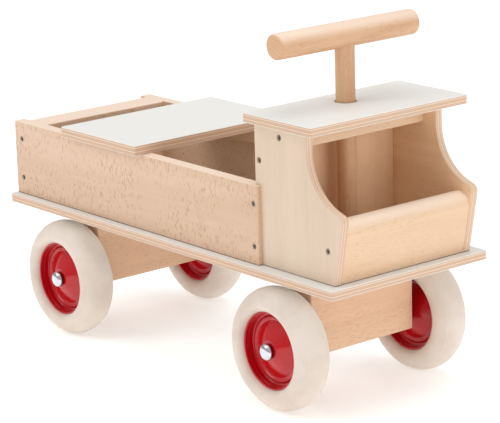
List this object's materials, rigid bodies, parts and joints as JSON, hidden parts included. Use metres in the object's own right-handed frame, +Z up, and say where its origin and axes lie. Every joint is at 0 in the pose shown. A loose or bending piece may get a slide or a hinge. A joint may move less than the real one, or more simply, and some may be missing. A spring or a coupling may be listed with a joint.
{
  "type": "push along truck",
  "caption": "Wooden sit-on truck with an open cargo box, seat board, open cab, handlebar steering on the front axle and solid tyres on pressed rims.",
  "frame": {"origin": "on the ground, under the middle of the outer box, wheels at rest", "axes": "+X the way the truck drives, +Y to its left, +Z up"},
  "size_m": [0.6018, 0.254, 0.42],
  "materials": {
    "beech_board": "clear satin lacquer",
    "beech_block": "clear satin lacquer",
    "turned_beech": "clear satin lacquer",
    "birch_ply": "clear satin lacquer",
    "laminated_ply": "pale laminate faces, bare ply edges",
    "nylon": "natural nylon",
    "plain_steel": "drawn steel",
    "bright_cap": "bright zinc plated",
    "screw_steel": "zinc plated",
    "cream_tyre": "smooth cream solid rubber",
    "red_enamel": "glossy red enamel"
  },
  "bodies": {
    "chassis": {"base_board": "laminated_ply", "cargo_side_right": "beech_board", "cargo_side_left": "beech_board", "rear_board": "beech_board", "seat_board": "laminated_ply", "seat_batten_right": "beech_board", "seat_batten_left": "beech_board", "cab_side_right": "birch_ply", "cab_side_left": "birch_ply", "cab_back_wall": "birch_ply", "bearing_board": "beech_board", "cab_front_panel": "beech_board", "roof_board": "laminated_ply", "post_bush": "nylon", "steering_stops": "turned_beech", "rear_axle_block": "beech_block", "rear_axle": "plain_steel", "rear_axle_washers": "plain_steel", "rear_axle_caps": "bright_cap", "cargo_side_screws": "screw_steel", "cab_side_screws": "screw_steel", "floor_screws": "screw_steel", "rear_block_screws": "screw_steel", "seat_screws": "screw_steel", "roof_screws": "screw_steel"},
    "steering": {"steering_post": "turned_beech", "handlebar": "turned_beech", "handlebar_pin": "turned_beech", "post_pin": "plain_steel", "collar_pin": "plain_steel", "post_collar": "turned_beech", "front_axle_block": "beech_block", "thrust_washer": "plain_steel", "front_axle": "plain_steel", "front_axle_washers": "plain_steel", "front_axle_caps": "bright_cap"},
    "rear_right_wheel": {"rear_right_tyre": "cream_tyre", "rear_right_rim": "red_enamel", "rear_right_outer_disc": "red_enamel", "rear_right_inner_disc": "red_enamel", "rear_right_hub_bush": "nylon"},
    "rear_left_wheel": {"rear_left_tyre": "cream_tyre", "rear_left_rim": "red_enamel", "rear_left_outer_disc": "red_enamel", "rear_left_inner_disc": "red_enamel", "rear_left_hub_bush": "nylon"},
    "front_right_wheel": {"front_right_tyre": "cream_tyre", "front_right_rim": "red_enamel", "front_right_outer_disc": "red_enamel", "front_right_inner_disc": "red_enamel", "front_right_hub_bush": "nylon"},
    "front_left_wheel": {"front_left_tyre": "cream_tyre", "front_left_rim": "red_enamel", "front_left_outer_disc": "red_enamel", "front_left_inner_disc": "red_enamel", "front_left_hub_bush": "nylon"}
  },
  "joints": [
    {"name": "steer", "type": "hinge", "parent": "chassis", "child": "steering", "pos_m": [0.1971, 0, 0.148], "axis": [0, 0, 1], "range_deg": [-30, 30]},
    {"name": "rear_right_spin", "type": "hinge", "parent": "chassis", "child": "rear_right_wheel", "pos_m": [-0.1979, -0.1024, 0.07], "axis": [0, 1, 0], "continuous": true},
    {"name": "rear_left_spin", "type": "hinge", "parent": "chassis", "child": "rear_left_wheel", "pos_m": [-0.1979, 0.1024, 0.07], "axis": [0, 1, 0], "continuous": true},
    {"name": "front_right_spin", "type": "hinge", "parent": "steering", "child": "front_right_wheel", "pos_m": [0.1971, -0.1024, 0.07], "axis": [0, 1, 0], "continuous": true},
    {"name": "front_left_spin", "type": "hinge", "parent": "steering", "child": "front_left_wheel", "pos_m": [0.1971, 0.1024, 0.07], "axis": [0, 1, 0], "continuous": true}
  ]
}
